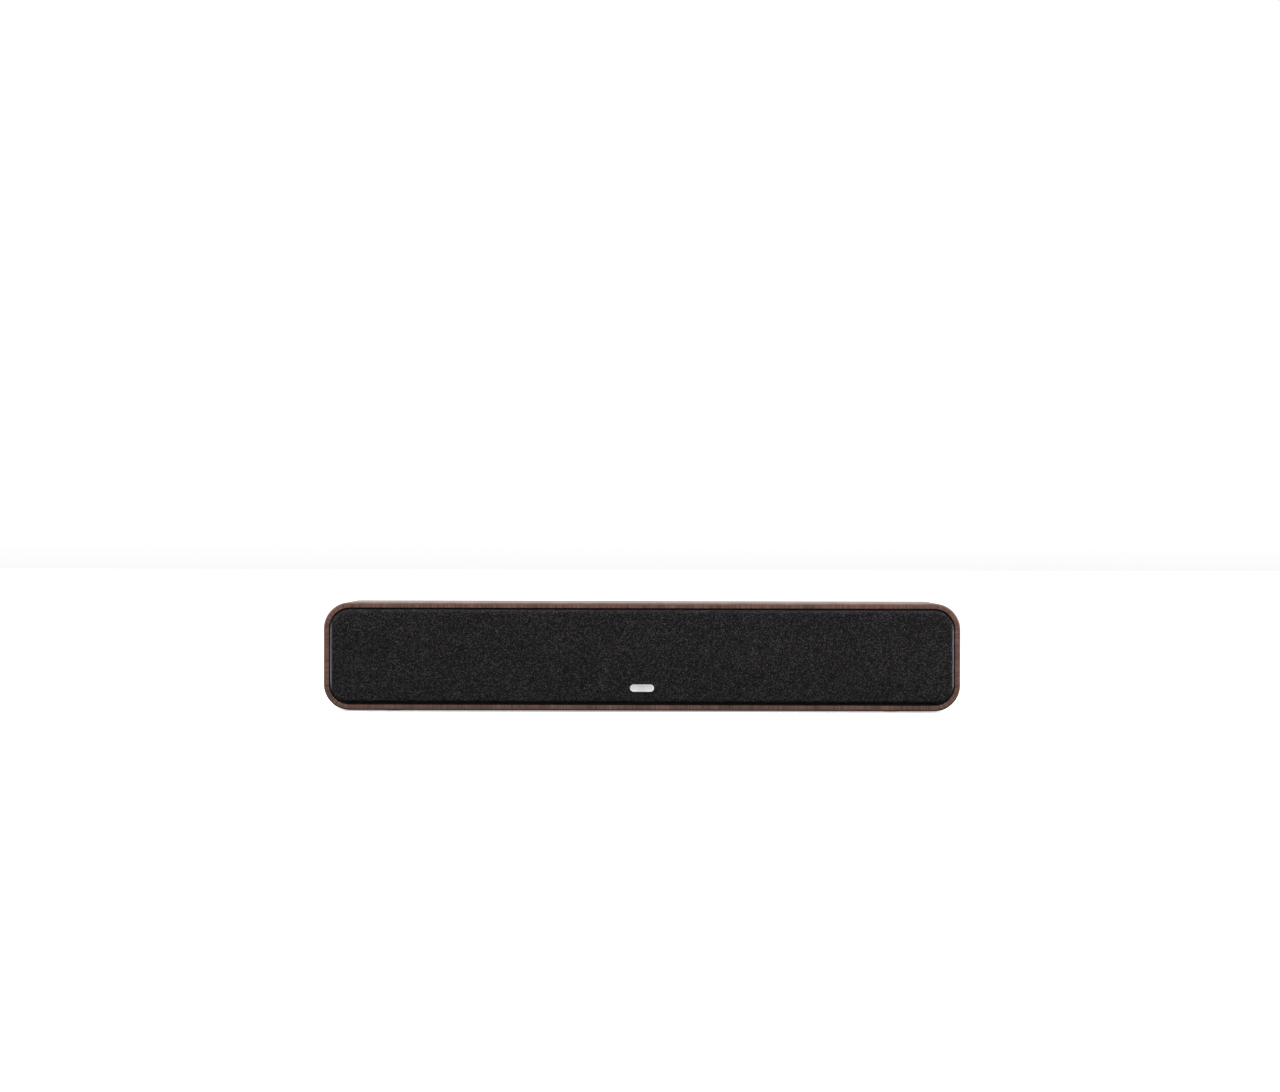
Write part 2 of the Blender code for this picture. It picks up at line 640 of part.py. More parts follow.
def keyhole_plates():
    """Steel plates flush with the back panel; a screw head enters low and hangs in the slot."""
    plate = rounded_rectangle(KEYHOLE_PLATE, KEYHOLE_PLATE_RADIUS, 4)
    rise = KEYHOLE_TRAVEL / 2
    joined = math.degrees(math.asin(KEYHOLE_SLOT_R / KEYHOLE_HEAD_R))
    hole = arc((0, -rise), KEYHOLE_HEAD_R, 90 + joined, 450 - joined, 12)
    hole += arc((0, rise), KEYHOLE_SLOT_R, 0, 180, 6)
    keyhole = loft("keyhole", [(hole, -KEYHOLE_PLATE_THICKNESS - PAST), (hole, PAST)])
    mesh = loft("keyhole_plate", [(plate, -KEYHOLE_PLATE_THICKNESS), (plate, 0)])
    for side, x in (("left", -KEYHOLE_X), ("right", KEYHOLE_X)):
        where = (x, PANEL_BACK_Y, KEYHOLE_Z)
        cut(place("keyhole_plate_" + side, mesh, steel(), where), keyhole, where)


def crossover():
    """Board on the cabinet floor behind the right woofers, with its largest coil."""
    floor_z = FOOT_HEIGHT + WALL
    board = rounded_rectangle((0.086, 0.0016), 0.0006, 2)
    mesh = loft("crossover_board", [(board, -0.028), (board, 0.028)])
    board_z = floor_z + 0.004
    place("crossover_board", mesh, circuit_board(), (0.062, 0.045, board_z))
    coil = turned("inductor", [(0.0060, 0), (0.0150, 0), (0.0150, 0.018), (0.0060, 0.018)])
    standing = place("inductor", coil, copper(), (0.078, 0.045, board_z + 0.0008 + GAP))
    standing.rotation_euler = (math.pi / 2, 0, 0)


def build():
    clear_scene()
    cabinet_shell()
    front_baffle()
    back_panel()
    braces()
    feet()
    grille()
    woofers()
    tweeter()
    reflex_ports()
    terminal_cup()
    keyhole_plates()
    crossover()


build()
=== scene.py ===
"""The looks of the slim centre-channel speaker bar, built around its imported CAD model."""
import math

import bmesh
import bpy
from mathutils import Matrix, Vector


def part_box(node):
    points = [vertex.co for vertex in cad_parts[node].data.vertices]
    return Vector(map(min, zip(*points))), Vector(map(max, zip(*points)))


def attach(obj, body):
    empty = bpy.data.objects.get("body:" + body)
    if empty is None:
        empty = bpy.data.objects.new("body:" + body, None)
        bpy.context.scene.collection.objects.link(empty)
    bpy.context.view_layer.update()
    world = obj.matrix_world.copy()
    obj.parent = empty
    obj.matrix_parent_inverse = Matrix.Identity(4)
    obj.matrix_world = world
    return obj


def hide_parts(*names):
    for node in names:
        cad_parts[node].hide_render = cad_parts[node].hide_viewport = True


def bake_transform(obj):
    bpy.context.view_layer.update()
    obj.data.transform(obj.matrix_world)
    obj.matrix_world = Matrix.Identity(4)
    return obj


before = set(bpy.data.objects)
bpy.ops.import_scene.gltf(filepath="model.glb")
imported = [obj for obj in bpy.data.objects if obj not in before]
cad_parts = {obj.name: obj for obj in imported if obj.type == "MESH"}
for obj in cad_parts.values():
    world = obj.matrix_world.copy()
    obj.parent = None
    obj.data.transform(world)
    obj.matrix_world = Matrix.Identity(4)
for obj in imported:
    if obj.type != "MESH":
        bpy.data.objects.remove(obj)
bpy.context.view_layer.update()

# Sizes that the CAD model doesn't give, in metres -------------------------------------------
CORNER_RADIUS = 0.025
RIM_WIDTH = 0.0052
SLEEVE_EDGE = 0.0017
GRILLE_END_GAP = 0.0007
GRILLE_EDGE = 0.0040
CLOTH = 0.0006
SEAM = 0.0003
PAST = 0.002
DRIVER_SEAT = 0.0033
WOOFER_HOLE_R = 0.0375
TWEETER_HOLE_R = 0.0238
PORT_HOLE_R = 0.0193
PANEL_RADIUS = 0.0147
WOOFER_SCREW_CIRCLE = 0.0382
TWEETER_SCREW_CIRCLE = 0.0292
YARN_PITCH = 0.00105
SILK_PITCH = 0.00035

# Numbers of segments --------------------------------------------------------------------------
FINE = 72
CORNER_STEPS = 20
SLEEVE_STEPS = 24


def centre(node):
    low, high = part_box(node)
    return (Vector(low) + Vector(high)) / 2


def low(node, axis):
    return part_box(node)[0][axis]


def high(node, axis):
    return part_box(node)[1][axis]


def span(node, axis):
    return high(node, axis) - low(node, axis)


MIDDLE = centre("cabinet_shell")
BAFFLE_Y = low("front_baffle", 1)
PANEL_Y = high("back_panel", 1)
RIM_Y = low("cabinet_shell", 1)
BACK_Y = high("cabinet_shell", 1)
WOOFERS = [centre(f"woofer_{k}_basket") for k in range(1, 7)]


# Outlines -----------------------------------------------------------------------------------
def arc(centre_at, radius, start, end, steps):
    points = []
    for step in range(steps + 1):
        angle = math.radians(start + (end - start) * step / steps)
        x = centre_at[0] + radius * math.cos(angle)
        points.append((x, centre_at[1] + radius * math.sin(angle)))
    return points


def rounded(size, radius, steps=CORNER_STEPS, along=1):
    """Rounded rectangle in X and Z, with extra points along its straight sides."""
    half_x, half_z = size[0] / 2 - radius, size[1] / 2 - radius
    corners = [arc((sx * half_x, sz * half_z), radius, 90 * turn, 90 * turn + 90, steps)
               for turn, (sx, sz) in enumerate(((1, 1), (-1, 1), (-1, -1), (1, -1)))]
    points = []
    for k, corner in enumerate(corners):
        points += corner
        start, end = Vector(corner[-1]), Vector(corners[(k + 1) % 4][0])
        points += [tuple(start.lerp(end, step / along)) for step in range(1, along)]
    return points


def ring(radius, segments=FINE):
    turns = [2 * math.pi * k / segments for k in range(segments)]
    return [(radius * math.cos(t), radius * math.sin(t)) for t in turns]


# Meshes ---------------------------------------------------------------------------------------
def mesh_object(name, bm, finish, location=(0, 0, 0), sharp=35):
    bmesh.ops.recalc_face_normals(bm, faces=bm.faces[:])
    mesh = bpy.data.meshes.new(name)
    bm.to_mesh(mesh)
    bm.free()
    mesh.shade_smooth()
    mesh.set_sharp_from_angle(angle=math.radians(sharp))
    mesh.materials.append(finish)
    made = bpy.data.objects.new(name, mesh)
    bpy.context.collection.objects.link(made)
    made.location = location
    return made


def bridge(bm, ring_a, ring_b):
    count = len(ring_a)
    for k in range(count):
        after = (k + 1) % count
        bm.faces.new((ring_a[k], ring_a[after], ring_b[after], ring_b[k]))


def loft(name, sections, finish, location=(0, 0, 0), closed=False, sharp=35):
    """Skin through (outline, y) sections, capped or joined end to end."""
    bm = bmesh.new()
    rings = [[bm.verts.new((x, y, z)) for x, z in outline] for outline, y in sections]
    for ring_a, ring_b in zip(rings, rings[1:]):
        bridge(bm, ring_a, ring_b)
    if closed:
        bridge(bm, rings[-1], rings[0])
    else:
        bm.faces.new(rings[0])
        bm.faces.new(rings[-1])
    return mesh_object(name, bm, finish, location, sharp)


def turned(name, profile, finish, location=(0, 0, 0), segments=FINE, wobble=None, sharp=35):
    """Body turned about Y. wobble(angle, radius, y) may change the radius, as for knurling."""
    bm = bmesh.new()
    rings = []
    for radius, y in profile:
        if radius == 0:
            rings.append([bm.verts.new((0, y, 0))])
            continue
        points = []
        for k in range(segments):
            angle = 2 * math.pi * k / segments
            r = wobble(angle, radius, y) if wobble else radius
            points.append(bm.verts.new((r * math.cos(angle), y, r * math.sin(angle))))
        rings.append(points)
    for ring_a, ring_b in zip(rings, rings[1:] + rings[:1]):
        if len(ring_a) > 1 and len(ring_b) > 1:
            bridge(bm, ring_a, ring_b)
        elif len(ring_a) != len(ring_b):
            pole, edge = (ring_a[0], ring_b) if len(ring_a) == 1 else (ring_b[0], ring_a)
            for k in range(segments):
                bm.faces.new((pole, edge[k], edge[(k + 1) % segments]))
    return mesh_object(name, bm, finish, location, sharp)


def cut(target, cutter):
    """Cut one object out of another for good."""
    modifier = target.modifiers.new("cut", "BOOLEAN")
    modifier.operation, modifier.solver, modifier.object = "DIFFERENCE", "EXACT", cutter
    graph = bpy.context.evaluated_depsgraph_get()
    cut_mesh = bpy.data.meshes.new_from_object(target.evaluated_get(graph))
    target.modifiers.clear()
    target.data = cut_mesh
    bpy.data.objects.remove(cutter, do_unlink=True)


def resharpen(target, angle=35):
    target.data.shade_smooth()
    target.data.set_sharp_from_angle(angle=math.radians(angle))


def stand_in(piece, body, slot, *nodes):
    """The piece rides on the body and stands for the nodes, which it hides. The slot is not used.
    """
    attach(piece, body)
    if nodes:
        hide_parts(*nodes)


# Materials ----------------------------------------------------------------------------------
class Finish:
    """A Principled material with short ways to add the nodes that feed it."""

    def __init__(self, name, roughness=0.5, metallic=0.0, colour=(0.5, 0.5, 0.5), **sockets):
        self.material = bpy.data.materials.new(name)
        self.material.use_nodes = True
        self.tree = self.material.node_tree
        self.shader = self.tree.nodes["Principled BSDF"]
        self.shader.inputs["Base Color"].default_value = (*colour, 1)
        self.shader.inputs["Roughness"].default_value = roughness
        self.shader.inputs["Metallic"].default_value = metallic
        for key, value in sockets.items():
            self.shader.inputs[key.replace("_", " ")].default_value = value

    def node(self, kind, sockets=None, **settings):
        made = self.tree.nodes.new("ShaderNode" + kind)
        for key, value in settings.items():
            setattr(made, key, value)
        for key, value in (sockets or {}).items():
            self.feed(made.inputs[key], value)
        return made

    def feed(self, socket, value):
        if isinstance(value, bpy.types.NodeSocket):
            self.tree.links.new(value, socket)
        elif hasattr(value, "outputs"):
            self.tree.links.new(value.outputs[0], socket)
        else:
            socket.default_value = value

    def place(self, scale=(1, 1, 1), source="Object"):
        coordinates = self.node("TexCoord").outputs[source]
        return self.node("Mapping", {"Vector": coordinates, "Scale": scale})

    def noise(self, where, scale, detail=4.0, rough=0.55, distortion=0.0):
        sockets = {"Vector": where, "Scale": scale, "Detail": detail, "Roughness": rough,
                   "Distortion": distortion}
        return self.node("TexNoise", sockets).outputs["Fac"]

    def ramp(self, factor, *stops):
        made = self.node("ValToRGB", {"Fac": factor})
        elements = made.color_ramp.elements
        for k, (at, colour) in enumerate(stops):
            element = elements[k] if k < 2 else elements.new(at)
            element.position, element.color = at, (*colour, 1)
        return made.outputs["Color"]

    def maths(self, operation, a, b=0.0):
        return self.node("Math", {0: a, 1: b}, operation=operation).outputs[0]

    def mix(self, factor, a, b, blend="MIX"):
        made = self.node("Mix", data_type="RGBA", blend_type=blend)
        self.feed(made.inputs["Factor"], factor)
        for key, value in (("A", a), ("B", b)):
            colour_sockets = [s for s in made.inputs if s.name == key and s.type == "RGBA"]
            self.feed(colour_sockets[0], (*value, 1) if isinstance(value, tuple) else value)
        return [s for s in made.outputs if s.type == "RGBA"][0]

    def spread(self, value, low_to, high_to, low_from=0.0, high_from=1.0):
        sockets = {"Value": value, "From Min": low_from, "From Max": high_from,
                   "To Min": low_to, "To Max": high_to}
        return self.node("MapRange", sockets).outputs["Result"]

    def bump(self, height, distance, strength=1.0):
        sockets = {"Height": height, "Distance": distance, "Strength": strength}
        bump = self.node("Bump", sockets)
        if self.shader.inputs["Normal"].is_linked:
            self.feed(bump.inputs["Normal"], self.shader.inputs["Normal"].links[0].from_socket)
        self.feed(self.shader.inputs["Normal"], bump)

    def set(self, socket, value):
        self.feed(self.shader.inputs[socket], value)


def walnut(name):
    """Veneer: figure, growth streaks and pores run along V, front to back."""
    made = Finish(name, Specular_IOR_Level=0.38, Coat_Weight=0.08, Coat_Roughness=0.38)
    sway = made.noise(made.place((9, 5, 1), "UV"), 1.0, 2)
    uv = made.place((1, 1, 1), "UV")
    bend = made.node("CombineXYZ", {"X": made.maths("MULTIPLY", sway, 0.012)})
    bent = made.node("VectorMath", {0: uv, 1: bend}, operation="ADD")

    def streak(across, along, detail, rough):
        stretched = made.node("Mapping", {"Vector": bent.outputs[0], "Scale": (across, along, 1)})
        return made.noise(stretched, 1.0, detail, rough)

    late_wood, early_wood = (0.088, 0.044, 0.033), (0.182, 0.099, 0.073)
    pore_colour = (0.030, 0.016, 0.012)
    growth = made.ramp(streak(46, 2.2, 3, 0.6), (0.30, (0, 0, 0)), (0.70, (1, 1, 1)))
    fine = streak(820, 11, 5, 0.7)
    colour = made.mix(growth, late_wood, early_wood)
    shade = made.ramp(fine, (0.34, (0.36, 0.33, 0.32)), (0.66, (1.72, 1.74, 1.74)))
    colour = made.mix(0.9, colour, shade, "MULTIPLY")
    blotch = made.noise(made.place((14, 6, 1), "UV"), 1.0, 3)
    warm = made.ramp(blotch, (0.35, (0.93, 0.95, 0.98)), (0.68, (1.16, 0.98, 0.88)))
    colour = made.mix(0.8, colour, warm, "MULTIPLY")
    pore = made.ramp(streak(1500, 60, 2, 0.5), (0.60, (0, 0, 0)), (0.69, (1, 1, 1)))
    colour = made.mix(made.maths("MULTIPLY", pore, 0.55), colour, pore_colour)
    made.set("Base Color", colour)
    made.set("Roughness", made.spread(fine, 0.36, 0.52, 0.3, 0.7))
    made.bump(made.maths("SUBTRACT", made.maths("MULTIPLY", fine, 0.35), pore), 0.00008, 0.5)
    return made.material


def speaker_cloth(name):
    """Plain weave of black yarn with light slubs, with a painted highlight along both ends and
    painted shade along its bottom edge.
    """
    made = Finish(name, 0.9, Specular_IOR_Level=0.12, Sheen_Weight=0.20, Sheen_Roughness=0.3,
                  Sheen_Tint=(0.80, 0.80, 0.90, 1))
    place = made.place()
    yarn = 2 * math.pi / YARN_PITCH
    x, _, z = made.node("SeparateXYZ", {"Vector": place}).outputs
    waver = made.maths("MULTIPLY", made.noise(place, 160, 3), 1.6)
    across = made.maths("SINE", made.maths("ADD", made.maths("MULTIPLY", x, yarn), waver))
    down = made.maths("SINE", made.maths("ADD", made.maths("MULTIPLY", z, yarn), waver))
    weave = made.spread(made.maths("MULTIPLY", across, down), 0, 1, -1, 1)
    slubs = made.node("TexVoronoi", {"Vector": place, "Scale": 1400.0})
    slub = made.node("SeparateColor", {"Color": slubs.outputs["Color"]}).outputs[0]
    bright = made.maths("POWER", slub, 4.0)
    cloud = made.spread(made.noise(place, 34, 3), 0.85, 1.15, 0.3, 0.7)
    thread = made.spread(weave, 0.70, 1.25)
    tone = made.maths("MULTIPLY", made.maths("MULTIPLY", bright, cloud), thread)
    yarn_colour, slub_colour = (0.0060, 0.0053, 0.0058), (0.074, 0.068, 0.071)
    # Colour of the painted highlight along the cloth's rolled ends.
    painted_highlight_colour = (0.205, 0.194, 0.220)
    colour = made.mix(tone, yarn_colour, slub_colour)
    # Painted shade: the cloth darkens to black over its lowest 3 mm, where its rolled bottom edge
    # turns down.
    cloth_bottom = -span("grille_cloth", 2) / 2
    colour = made.mix(made.spread(z, 0.85, 0, cloth_bottom + 0.0008, cloth_bottom + 0.0030), colour, (0, 0, 0))
    # Painted highlight: paler bands along both rolled ends, fading towards the corners and broken
    # up by noise.
    reach, rise = made.maths("ABSOLUTE", x), made.maths("ABSOLUTE", z)
    outside = span("grille_cloth", 0) / 2
    end = made.spread(reach, 0, 1, outside - 0.0024, outside - 0.0008)
    straight = made.spread(rise, 1, 0, 0.024, 0.038)
    highlight_breakup = made.spread(made.noise(place, 300, 3), 0.5, 1.0, 0.35, 0.65)
    end_highlight_mask = made.maths("MULTIPLY", made.maths("MULTIPLY", end, straight), highlight_breakup)
    made.set("Base Color", made.mix(end_highlight_mask, colour, painted_highlight_colour))
    made.bump(made.maths("ADD", weave, slub), 0.00022, 0.8)
    return made.material


def moulded(name, colour=(0.017, 0.017, 0.018), roughness=0.46, grain=1500, depth=0.00004):
    """Injection-moulded plastic with a spark-eroded texture."""
    made = Finish(name, roughness, Specular_IOR_Level=0.45)
    place = made.place()
    grit = made.noise(place, grain, 3, 0.6)
    cloud = made.noise(place, 35, 3)
    dark = tuple(0.82 * c for c in colour)
    bright = tuple(1.25 * c for c in colour)
    made.set("Base Color", made.ramp(cloud, (0.3, dark), (0.7, bright)))
    made.set("Roughness", made.spread(grit, roughness - 0.07, roughness + 0.10, 0.3, 0.7))
    made.bump(grit, depth, 0.6)
    return made.material


def laminate(name):
    """Black vinyl film with a faint pressed ash grain over fibreboard."""
    made = Finish(name, 0.6, Specular_IOR_Level=0.35)
    grain = made.noise(made.place((14, 1, 420)), 1.0, 5, 0.65, 0.4)
    speck = made.noise(made.place(), 900, 2)
    colour = made.ramp(grain, (0.32, (0.010, 0.0098, 0.0100)), (0.70, (0.026, 0.025, 0.025)))
    made.set("Base Color", colour)
    made.set("Roughness", made.spread(speck, 0.50, 0.72, 0.3, 0.7))
    made.bump(grain, 0.00010, 0.5)
    return made.material


def metal(name, colour, roughness, brushed=(1, 1, 60)):
    """Stained, finely scratched metal. brushed is the scratches' scale along each axis."""
    made = Finish(name, roughness, 1.0, colour)
    scratches = made.noise(made.place(brushed), 40, 4, 0.7)
    stain = made.noise(made.place(), 60, 3)
    made.set("Base Color", made.ramp(stain, (0.3, tuple(0.80 * c for c in colour)), (0.7, colour)))
    made.set("Roughness", made.spread(scratches, roughness - 0.08, roughness + 0.14, 0.3, 0.7))
    made.bump(scratches, 0.00002, 0.5)
    return made.material


def pulp(name):
    """Coated paper pulp: short pressed fibres in all directions."""
    made = Finish(name, 0.72, Specular_IOR_Level=0.4)
    place = made.place()
    fibres = made.noise(place, 700, 5, 0.75, 1.2)
    cloud = made.noise(place, 90, 3)
    colour = made.ramp(fibres, (0.30, (0.016, 0.016, 0.018)), (0.72, (0.046, 0.046, 0.049)))
    made.set("Base Color", colour)
    made.set("Roughness", made.spread(cloud, 0.58, 0.80, 0.3, 0.7))
    made.bump(fibres, 0.00010, 0.6)
    return made.material


def dark_rubber(name, roughness=0.62):
    """Black rubber with a little dust."""
    made = Finish(name, roughness, Specular_IOR_Level=0.4)
    dust = made.noise(made.place(), 420, 4, 0.7)
    colour = made.ramp(dust, (0.35, (0.011, 0.011, 0.011)), (0.75, (0.026, 0.026, 0.027)))
    made.set("Base Color", colour)
    made.set("Roughness", made.spread(dust, roughness - 0.1, roughness + 0.12, 0.3, 0.7))
    made.bump(dust, 0.00003, 0.4)
    return made.material


def silk(name):
    """Black silk weave under a thin lacquer."""
    made = Finish(name, 0.5, Specular_IOR_Level=0.5, Coat_Weight=0.3, Coat_Roughness=0.35)
    x, _, z = made.node("SeparateXYZ", {"Vector": made.place()}).outputs
    thread = 2 * math.pi / SILK_PITCH
    across = made.maths("SINE", made.maths("MULTIPLY", x, thread))
    weave = made.maths("MULTIPLY", across, made.maths("SINE", made.maths("MULTIPLY", z, thread)))
    tone = made.spread(weave, 0, 1, -1, 1)
    colour = made.ramp(tone, (0.2, (0.012, 0.012, 0.014)), (0.9, (0.036, 0.036, 0.040)))
    made.set("Base Color", colour)
    made.bump(weave, 0.00003, 0.5)
    return made.material


def raw_board(name):
    """Bare fibreboard."""
    made = Finish(name, 0.9, Specular_IOR_Level=0.2)
    fibre = made.noise(made.place(), 520, 5, 0.75)
    colour = made.ramp(fibre, (0.3, (0.30, 0.205, 0.125)), (0.7, (0.50, 0.37, 0.25)))
    made.set("Base Color", colour)
    made.bump(fibre, 0.0001, 0.5)
    return made.material


def solder_mask(name):
    """Green lacquer with paler tracks under it."""
    made = Finish(name, 0.4, Coat_Weight=0.5, Coat_Roughness=0.2)
    sockets = {"Vector": made.place(), "Scale": 170.0}
    cells = made.node("TexVoronoi", sockets, distance="MANHATTAN").outputs["Distance"]
    track = made.ramp(cells, (0.30, (0.012, 0.085, 0.030)), (0.34, (0.030, 0.170, 0.062)))
    made.set("Base Color", track)
    made.bump(cells, 0.00003, 0.4)
    return made.material


def winding(name):
    """Enamelled copper wire, wound in close turns."""
    made = Finish(name, 0.3, 1.0, (0.62, 0.27, 0.13))
    sockets = {"Vector": made.place(), "Scale": 320.0, "Distortion": 0.4}
    wave = made.node("TexWave", sockets, wave_type="BANDS", bands_direction="Z")
    turns = wave.outputs["Fac"]
    colour = made.ramp(turns, (0.1, (0.25, 0.09, 0.04)), (0.8, (0.72, 0.33, 0.17)))
    made.set("Base Color", colour)
    made.bump(turns, 0.0003, 0.8)
    return made.material


FINISHES = {
    "walnut": walnut("walnut_veneer_fine"),
    "cloth": speaker_cloth("speaker_cloth_fine"),
    "plastic": moulded("moulded_black"),
    "satin": moulded("moulded_satin", (0.020, 0.020, 0.021), 0.36, 2400, 0.00002),
    "laminate": laminate("black_laminate"),
    "steel": metal("zinc_steel", (0.60, 0.61, 0.63), 0.34),
    "screw": metal("black_oxide_steel", (0.045, 0.045, 0.050), 0.38, (60, 60, 60)),
    "brass": metal("gilt_brass_fine", (0.83, 0.62, 0.27), 0.24, (60, 60, 1)),
    "ferrite": moulded("ferrite_fine", (0.055, 0.055, 0.060), 0.62, 600, 0.00010),
    "rubber": dark_rubber("rubber_fine"),
    "roll": dark_rubber("surround_rubber", 0.48),
    "pulp": pulp("cone_pulp"),
    "silk": silk("dome_silk"),
    "raw": raw_board("raw_fibreboard"),
    "post_red": moulded("post_red_fine", (0.50, 0.016, 0.016), 0.28, 1800, 0.00001),
    "post_black": moulded("post_black_fine", (0.020, 0.020, 0.020), 0.28, 1800, 0.00001),
    "badge": moulded("badge_fine", (0.76, 0.76, 0.755), 0.34, 2400, 0.00001),
    "board": solder_mask("solder_mask_fine"),
    "copper": winding("copper_winding"),
}


# Cabinet ------------------------------------------------------------------------------------
def wood_sleeve():
    """The veneered sleeve. Its UVs run in metres: U round the sleeve, V front to back."""
    size = (span("cabinet_shell", 0), span("cabinet_shell", 2))

    def shrunk(inset):
        shape = (size[0] - 2 * inset, size[1] - 2 * inset)
        return rounded(shape, CORNER_RADIUS - inset, along=SLEEVE_STEPS)

    edge, soft, bays = SLEEVE_EDGE, 0.0004, 8
    sections = [(shrunk(inset), RIM_Y + back)
                for inset, back in arc((edge, edge), edge, 270, 180, 7)]
    depths = [RIM_Y + (BACK_Y - RIM_Y) * k / bays for k in range(1, bays)]
    outside = shrunk(0)
    rear = [(shape, BACK_Y - (y - RIM_Y)) for shape, y in reversed(sections)]
    sections += [(outside, y) for y in depths] + rear
    inside = shrunk((size[0] - span("back_panel", 0)) / 2 - SEAM)
    opening, softened = shrunk(RIM_WIDTH), shrunk(RIM_WIDTH - soft)
    step_y = high("front_baffle", 1) + SEAM
    sections += [(inside, BACK_Y), (inside, step_y), (opening, step_y), (opening, RIM_Y + soft),
                 (softened, RIM_Y)]
    where = MIDDLE * Vector((1, 0, 1))
    sleeve = loft("wood_sleeve", sections, FINISHES["walnut"], where, closed=True)
    wrap_uvs(sleeve, len(outside), len(sections), outside, sections)
    stand_in(sleeve, "cabinet", "walnut_veneer", "cabinet_shell")


def wrap_uvs(sleeve, count, rows, outside, sections):
    """U is the distance round the outline, V the distance along the section's skin."""
    around = [0.0]
    for a, b in zip(outside, outside[1:] + outside[:1]):
        around.append(around[-1] + math.dist(a, b))
    along = [0.0]
    for (shape_a, y_a), (shape_b, y_b) in zip(sections, sections[1:] + sections[:1]):
        step = math.dist((shape_a[0][0], y_a), (shape_b[0][0], y_b))
        along.append(along[-1] + step)
    layer = sleeve.data.uv_layers.new(name="veneer")
    for face in sleeve.data.polygons:
        corners = [(v % count, v // count) for v in face.vertices]
        wraps_u = {k for k, _ in corners} == {0, count - 1}
        wraps_v = {r for _, r in corners} == {0, rows - 1}
        for loop, (k, row) in zip(face.loop_indices, corners):
            u = around[count] if wraps_u and k == 0 else around[k]
            v = along[rows] if wraps_v and row == 0 else along[row]
            layer.data[loop].uv = (u, v)


def drilled(name, node, radius, holes, finish):
    """A board with the node's size, drilled by holes of (x, z, profile)."""
    size = (span(node, 0), span(node, 2))
    outline = rounded(size, radius)
    board = loft(name, [(outline, low(node, 1)), (outline, high(node, 1))], finish,
                 MIDDLE * Vector((1, 0, 1)))
    for x, z, profile in holes:
        cut(board, turned("hole", profile, finish, (x, 0, z)))
    resharpen(board)
    return board


def step_profile(front, *steps):
    """Profile of a stepped hole from (radius, y) steps, starting past the face at front."""
    points = [(0, front)]
    y = front
    for radius, until in steps:
        points += [(radius, y), (radius, until)]
        y = until
    return points + [(0, y)]


def baffle():
    """Front board with a seat and a hole for each driver and a pocket for each catch disc."""
    front, rear = BAFFLE_Y - PAST, high("front_baffle", 1) + PAST
    drivers = [(f"woofer_{k}_basket", WOOFER_HOLE_R) for k in range(1, 7)]
    drivers.append(("tweeter_faceplate", TWEETER_HOLE_R))
    holes = []
    for node, hole_r in drivers:
        at = centre(node)
        steps = ((span(node, 0) / 2 + SEAM, BAFFLE_Y + DRIVER_SEAT), (hole_r, rear))
        holes.append((at.x, at.z, step_profile(front, *steps)))
    for k in range(1, 5):
        node = f"catch_disc_{k}"
        at = centre(node)
        pocket = (span(node, 0) / 2 + SEAM, high(node, 1) + SEAM)
        holes.append((at.x, at.z, step_profile(front, pocket)))
    radius = CORNER_RADIUS - RIM_WIDTH - SEAM
    board = drilled("baffle_board", "front_baffle", radius, holes, FINISHES["laminate"])
    stand_in(board, "cabinet", "black_board", "front_baffle")


def back():
    """Rear board, open for the ports and the terminal cup, with seats for the keyhole plates."""
    inner_y, outer_y, pocket_depth = low("back_panel", 1) - PAST, PANEL_Y + PAST, 0.009
    holes = []
    for side in ("left", "right"):
        at = centre("port_tube_" + side)
        holes.append((at.x, at.z, step_profile(inner_y, (PORT_HOLE_R, outer_y))))
    board = drilled("rear_board", "back_panel", PANEL_RADIUS, holes, FINISHES["laminate"])

    def sink(outline, depth_y, at):
        sections = [(outline, depth_y), (outline, outer_y)]
        cut(board, loft("hole", sections, FINISHES["plastic"], (at.x, 0, at.z)))

    sink(rounded((0.0706, 0.0526), 0.0103, 8), inner_y, centre("terminal_cup"))
    for side in ("left", "right"):
        node = "keyhole_plate_" + side
        at = centre(node)
        seat = rounded((span(node, 0) + 2 * SEAM, span(node, 2) + 2 * SEAM), 0.003, 8)
        sink(seat, low(node, 1) - SEAM, at)
        sink(rounded((0.013, 0.025), 0.006, 8), PANEL_Y - pocket_depth, at)
    resharpen(board)
    stand_in(board, "cabinet", "black_board", "back_panel")


def feet():
    """Ribbed rubber pads with a moulded rim."""
    for place_name in ("front_left", "front_right", "rear_left", "rear_right"):
        node = "foot_" + place_name
        at = centre(node)
        radius, top = span(node, 0) / 2, high(node, 2)
        profile = [(0, 0.0002), (radius * 0.30, 0.0002), (radius * 0.36, 0), (radius * 0.62, 0),
                   (radius * 0.68, 0.0002), (radius * 0.76, 0.0002), (radius * 0.80, 0),
                   (radius - 0.0004, 0), (radius - 0.0001, 0.0002), (radius, 0.0005),
                   (radius, top), (0, top)]
        flipped = [(r, -z) for r, z in profile]
        foot = turned("pad_" + place_name, flipped, FINISHES["rubber"], segments=48)
        foot.location = (at.x, at.y, 0)
        foot.rotation_euler = (-math.pi / 2, 0, 0)
        stand_in(foot, "cabinet", "rubber", node)


# Grille -------------------------------------------------------------------------------------
def grille_skin(inset, front, back, node="grille_cloth", steps=8):
    """Outlines of the grille's face and rolled edge, inset from its outside, face first."""
    width, height = span(node, 0) - 2 * inset, span(node, 2) - 2 * inset
    radius = CORNER_RADIUS - RIM_WIDTH - GRILLE_END_GAP - inset
    edge = GRILLE_EDGE - inset
    rows = [(rounded((width, height), radius, 12, 40), back)]
    for step_in, back_off in arc((edge, edge), edge, 180, 270, steps):
        shape = (width - 2 * step_in, height - 2 * step_in)
        rows.append((rounded(shape, radius - step_in, 12, 40), front + back_off))
    return rows


